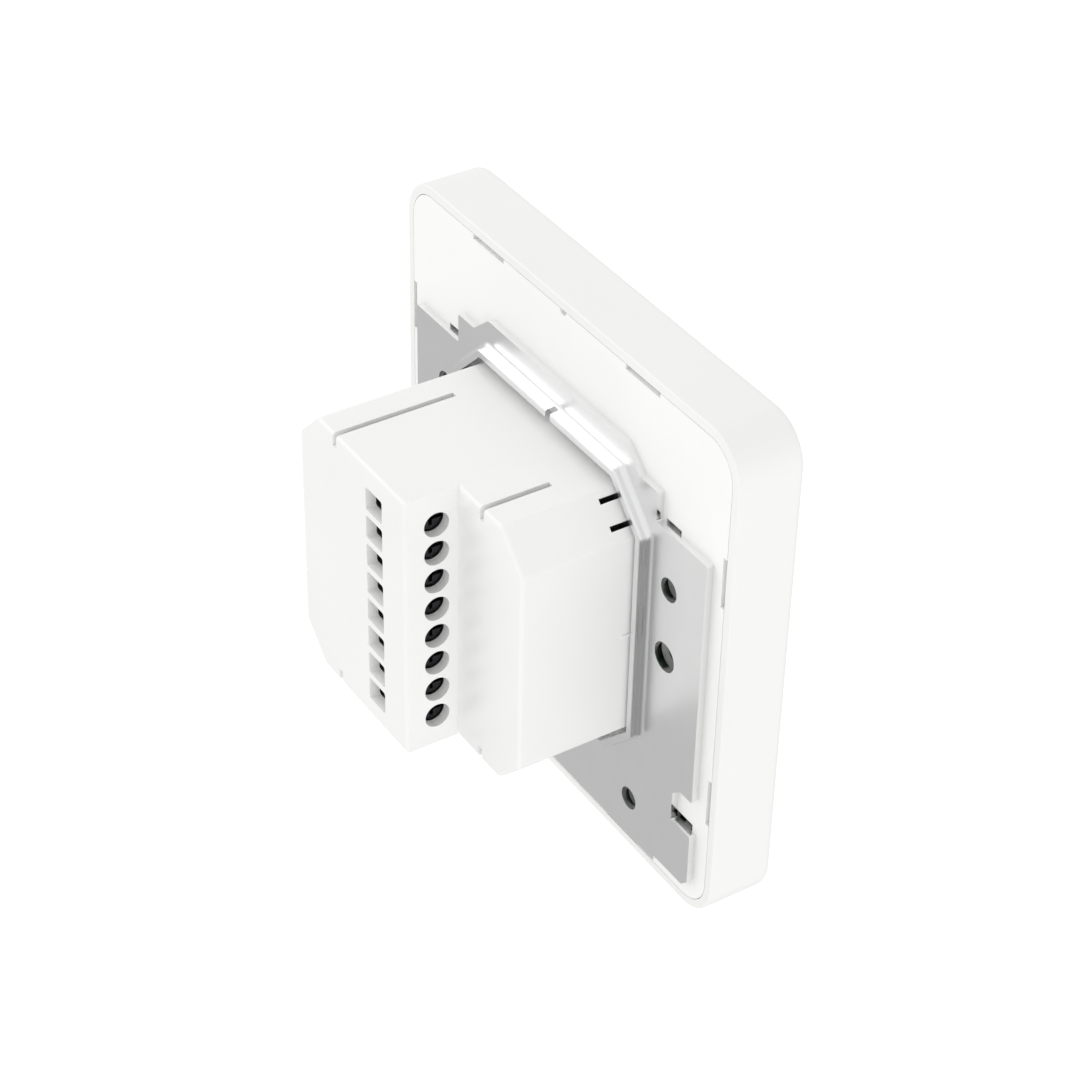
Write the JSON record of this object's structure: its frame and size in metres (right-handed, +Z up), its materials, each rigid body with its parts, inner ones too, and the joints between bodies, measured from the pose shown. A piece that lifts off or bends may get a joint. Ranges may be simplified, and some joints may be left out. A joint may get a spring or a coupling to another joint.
{
  "type": "wall thermostat",
  "caption": "Slim square wall thermostat with pull-off front, steel wall plate and a flush power module with screw wire terminals.",
  "frame": {"origin": "centre of the two wall screw holes on the rear face of the steel plate, which is also the middle of the square front, seen from the front", "axes": "+Y points into the wall along the power module, -Y is where the display looks, +Z is up, +X is to the right for a person facing the display"},
  "size_m": [0.086, 0.0416, 0.086],
  "materials": {
    "white_abs": "fine satin moulded white ABS",
    "white_module_abs": "satin moulded white flame retardant ABS",
    "key_abs": "satin white key caps",
    "window_acrylic": "clear acrylic, polished",
    "display_glass": "grey green display glass",
    "milky_acrylic": "milky white diffuser",
    "led_resin": "yellowish clear resin",
    "green_laminate": "green solder mask on glass laminate",
    "black_nylon": "matte black nylon",
    "black_epoxy": "matte black epoxy",
    "galvanised_steel": "smooth bright galvanised sheet steel",
    "zinc_steel": "zinc plated steel",
    "tinned_brass": "tin plated brass",
    "relay_case": "blue relay case",
    "ferrite": "dull grey black ferrite",
    "wound_copper": "yellow taped copper winding",
    "capacitor_sleeve": "dark shrink sleeve",
    "capacitor_box": "yellow moulded box",
    "surge_coating": "blue dipped coating",
    "resistor_coating": "green dipped coating"
  },
  "bodies": {
    "base": {"mounting_plate": "galvanised_steel", "module_housing": "white_module_abs", "module_lid": "white_module_abs", "terminal_block": "black_nylon", "power_board": "green_laminate", "terminal_contacts": "tinned_brass", "relays": "relay_case", "transformer_core": "ferrite", "transformer_coil": "wound_copper", "smoothing_capacitor": "capacitor_sleeve", "mains_capacitor": "capacitor_box", "surge_disc": "surge_coating", "fuse_resistor": "resistor_coating", "pin_header": "black_nylon", "header_pins": "tinned_brass"},
    "front_unit": {"front_shell": "white_abs", "display_window": "window_acrylic", "rear_cover": "white_abs", "main_board": "green_laminate", "board_screws": "zinc_steel", "lcd_cell": "display_glass", "light_guide": "milky_acrylic", "backlight_leds": "led_resin", "switch_bodies": "black_nylon", "controller_chip": "black_epoxy", "temperature_sensor": "black_epoxy", "board_socket": "black_nylon"},
    "key_power_body": {"key_power": "key_abs", "switch_plunger_power": "black_nylon"},
    "key_mode_body": {"key_mode": "key_abs", "switch_plunger_mode": "black_nylon"},
    "key_fan_body": {"key_fan": "key_abs", "switch_plunger_fan": "black_nylon"},
    "key_down_body": {"key_down": "key_abs", "switch_plunger_down": "black_nylon"},
    "key_up_body": {"key_up": "key_abs", "switch_plunger_up": "black_nylon"},
    "terminal_screw_1_body": {"terminal_screw_1": "zinc_steel"},
    "terminal_clamp_1_body": {"terminal_clamp_1": "zinc_steel"},
    "terminal_screw_2_body": {"terminal_screw_2": "zinc_steel"},
    "terminal_clamp_2_body": {"terminal_clamp_2": "zinc_steel"},
    "terminal_screw_3_body": {"terminal_screw_3": "zinc_steel"},
    "terminal_clamp_3_body": {"terminal_clamp_3": "zinc_steel"},
    "terminal_screw_4_body": {"terminal_screw_4": "zinc_steel"},
    "terminal_clamp_4_body": {"terminal_clamp_4": "zinc_steel"},
    "terminal_screw_5_body": {"terminal_screw_5": "zinc_steel"},
    "terminal_clamp_5_body": {"terminal_clamp_5": "zinc_steel"},
    "terminal_screw_6_body": {"terminal_screw_6": "zinc_steel"},
    "terminal_clamp_6_body": {"terminal_clamp_6": "zinc_steel"},
    "terminal_screw_7_body": {"terminal_screw_7": "zinc_steel"},
    "terminal_clamp_7_body": {"terminal_clamp_7": "zinc_steel"},
    "terminal_screw_8_body": {"terminal_screw_8": "zinc_steel"},
    "terminal_clamp_8_body": {"terminal_clamp_8": "zinc_steel"}
  },
  "joints": [
    {"name": "front_unit_pull", "type": "slide", "parent": "base", "child": "front_unit", "axis": [0, -1, 0], "range_m": [0, 0.025]},
    {"name": "key_power_press", "type": "slide", "parent": "front_unit", "child": "key_power_body", "axis": [0, 1, 0], "range_m": [0, 0.00025], "stiffness_N_per_m": 800, "springref_m": -0.0005},
    {"name": "key_mode_press", "type": "slide", "parent": "front_unit", "child": "key_mode_body", "axis": [0, 1, 0], "range_m": [0, 0.00025], "stiffness_N_per_m": 800, "springref_m": -0.0005},
    {"name": "key_fan_press", "type": "slide", "parent": "front_unit", "child": "key_fan_body", "axis": [0, 1, 0], "range_m": [0, 0.00025], "stiffness_N_per_m": 800, "springref_m": -0.0005},
    {"name": "key_down_press", "type": "slide", "parent": "front_unit", "child": "key_down_body", "axis": [0, 1, 0], "range_m": [0, 0.00025], "stiffness_N_per_m": 800, "springref_m": -0.0005},
    {"name": "key_up_press", "type": "slide", "parent": "front_unit", "child": "key_up_body", "axis": [0, 1, 0], "range_m": [0, 0.00025], "stiffness_N_per_m": 800, "springref_m": -0.0005},
    {"name": "terminal_clamp_1_rise", "type": "slide", "parent": "base", "child": "terminal_clamp_1_body", "axis": [-1, 0, 0], "range_m": [0, 0.00225]},
    {"name": "terminal_screw_1_turn", "type": "hinge", "parent": "base", "child": "terminal_screw_1_body", "pos_m": [-0.0043, 0.02355, 0.0176], "axis": [1, 0, 0], "range_deg": [0, 1800.1]},
    {"name": "terminal_clamp_2_rise", "type": "slide", "parent": "base", "child": "terminal_clamp_2_body", "axis": [-1, 0, 0], "range_m": [0, 0.00225]},
    {"name": "terminal_screw_2_turn", "type": "hinge", "parent": "base", "child": "terminal_screw_2_body", "pos_m": [-0.0043, 0.02355, 0.0126], "axis": [1, 0, 0], "range_deg": [0, 1800.1]},
    {"name": "terminal_clamp_3_rise", "type": "slide", "parent": "base", "child": "terminal_clamp_3_body", "axis": [-1, 0, 0], "range_m": [0, 0.00225]},
    {"name": "terminal_screw_3_turn", "type": "hinge", "parent": "base", "child": "terminal_screw_3_body", "pos_m": [-0.0043, 0.02355, 0.0076], "axis": [1, 0, 0], "range_deg": [0, 1800.1]},
    {"name": "terminal_clamp_4_rise", "type": "slide", "parent": "base", "child": "terminal_clamp_4_body", "axis": [-1, 0, 0], "range_m": [0, 0.00225]},
    {"name": "terminal_screw_4_turn", "type": "hinge", "parent": "base", "child": "terminal_screw_4_body", "pos_m": [-0.0043, 0.02355, 0.0026], "axis": [1, 0, 0], "range_deg": [0, 1800.1]},
    {"name": "terminal_clamp_5_rise", "type": "slide", "parent": "base", "child": "terminal_clamp_5_body", "axis": [-1, 0, 0], "range_m": [0, 0.00225]},
    {"name": "terminal_screw_5_turn", "type": "hinge", "parent": "base", "child": "terminal_screw_5_body", "pos_m": [-0.0043, 0.02355, -0.0024], "axis": [1, 0, 0], "range_deg": [0, 1800.1]},
    {"name": "terminal_clamp_6_rise", "type": "slide", "parent": "base", "child": "terminal_clamp_6_body", "axis": [-1, 0, 0], "range_m": [0, 0.00225]},
    {"name": "terminal_screw_6_turn", "type": "hinge", "parent": "base", "child": "terminal_screw_6_body", "pos_m": [-0.0043, 0.02355, -0.0074], "axis": [1, 0, 0], "range_deg": [0, 1800.1]},
    {"name": "terminal_clamp_7_rise", "type": "slide", "parent": "base", "child": "terminal_clamp_7_body", "axis": [-1, 0, 0], "range_m": [0, 0.00225]},
    {"name": "terminal_screw_7_turn", "type": "hinge", "parent": "base", "child": "terminal_screw_7_body", "pos_m": [-0.0043, 0.02355, -0.0124], "axis": [1, 0, 0], "range_deg": [0, 1800.1]},
    {"name": "terminal_clamp_8_rise", "type": "slide", "parent": "base", "child": "terminal_clamp_8_body", "axis": [-1, 0, 0], "range_m": [0, 0.00225]},
    {"name": "terminal_screw_8_turn", "type": "hinge", "parent": "base", "child": "terminal_screw_8_body", "pos_m": [-0.0043, 0.02355, -0.0174], "axis": [1, 0, 0], "range_deg": [0, 1800.1]}
  ],
  "couplings": [
    {"joint": "terminal_screw_1_turn", "follows": "terminal_clamp_1_rise", "rad_per_m": 13963},
    {"joint": "terminal_screw_2_turn", "follows": "terminal_clamp_2_rise", "rad_per_m": 13963},
    {"joint": "terminal_screw_3_turn", "follows": "terminal_clamp_3_rise", "rad_per_m": 13963},
    {"joint": "terminal_screw_4_turn", "follows": "terminal_clamp_4_rise", "rad_per_m": 13963},
    {"joint": "terminal_screw_5_turn", "follows": "terminal_clamp_5_rise", "rad_per_m": 13963},
    {"joint": "terminal_screw_6_turn", "follows": "terminal_clamp_6_rise", "rad_per_m": 13963},
    {"joint": "terminal_screw_7_turn", "follows": "terminal_clamp_7_rise", "rad_per_m": 13963},
    {"joint": "terminal_screw_8_turn", "follows": "terminal_clamp_8_rise", "rad_per_m": 13963}
  ]
}
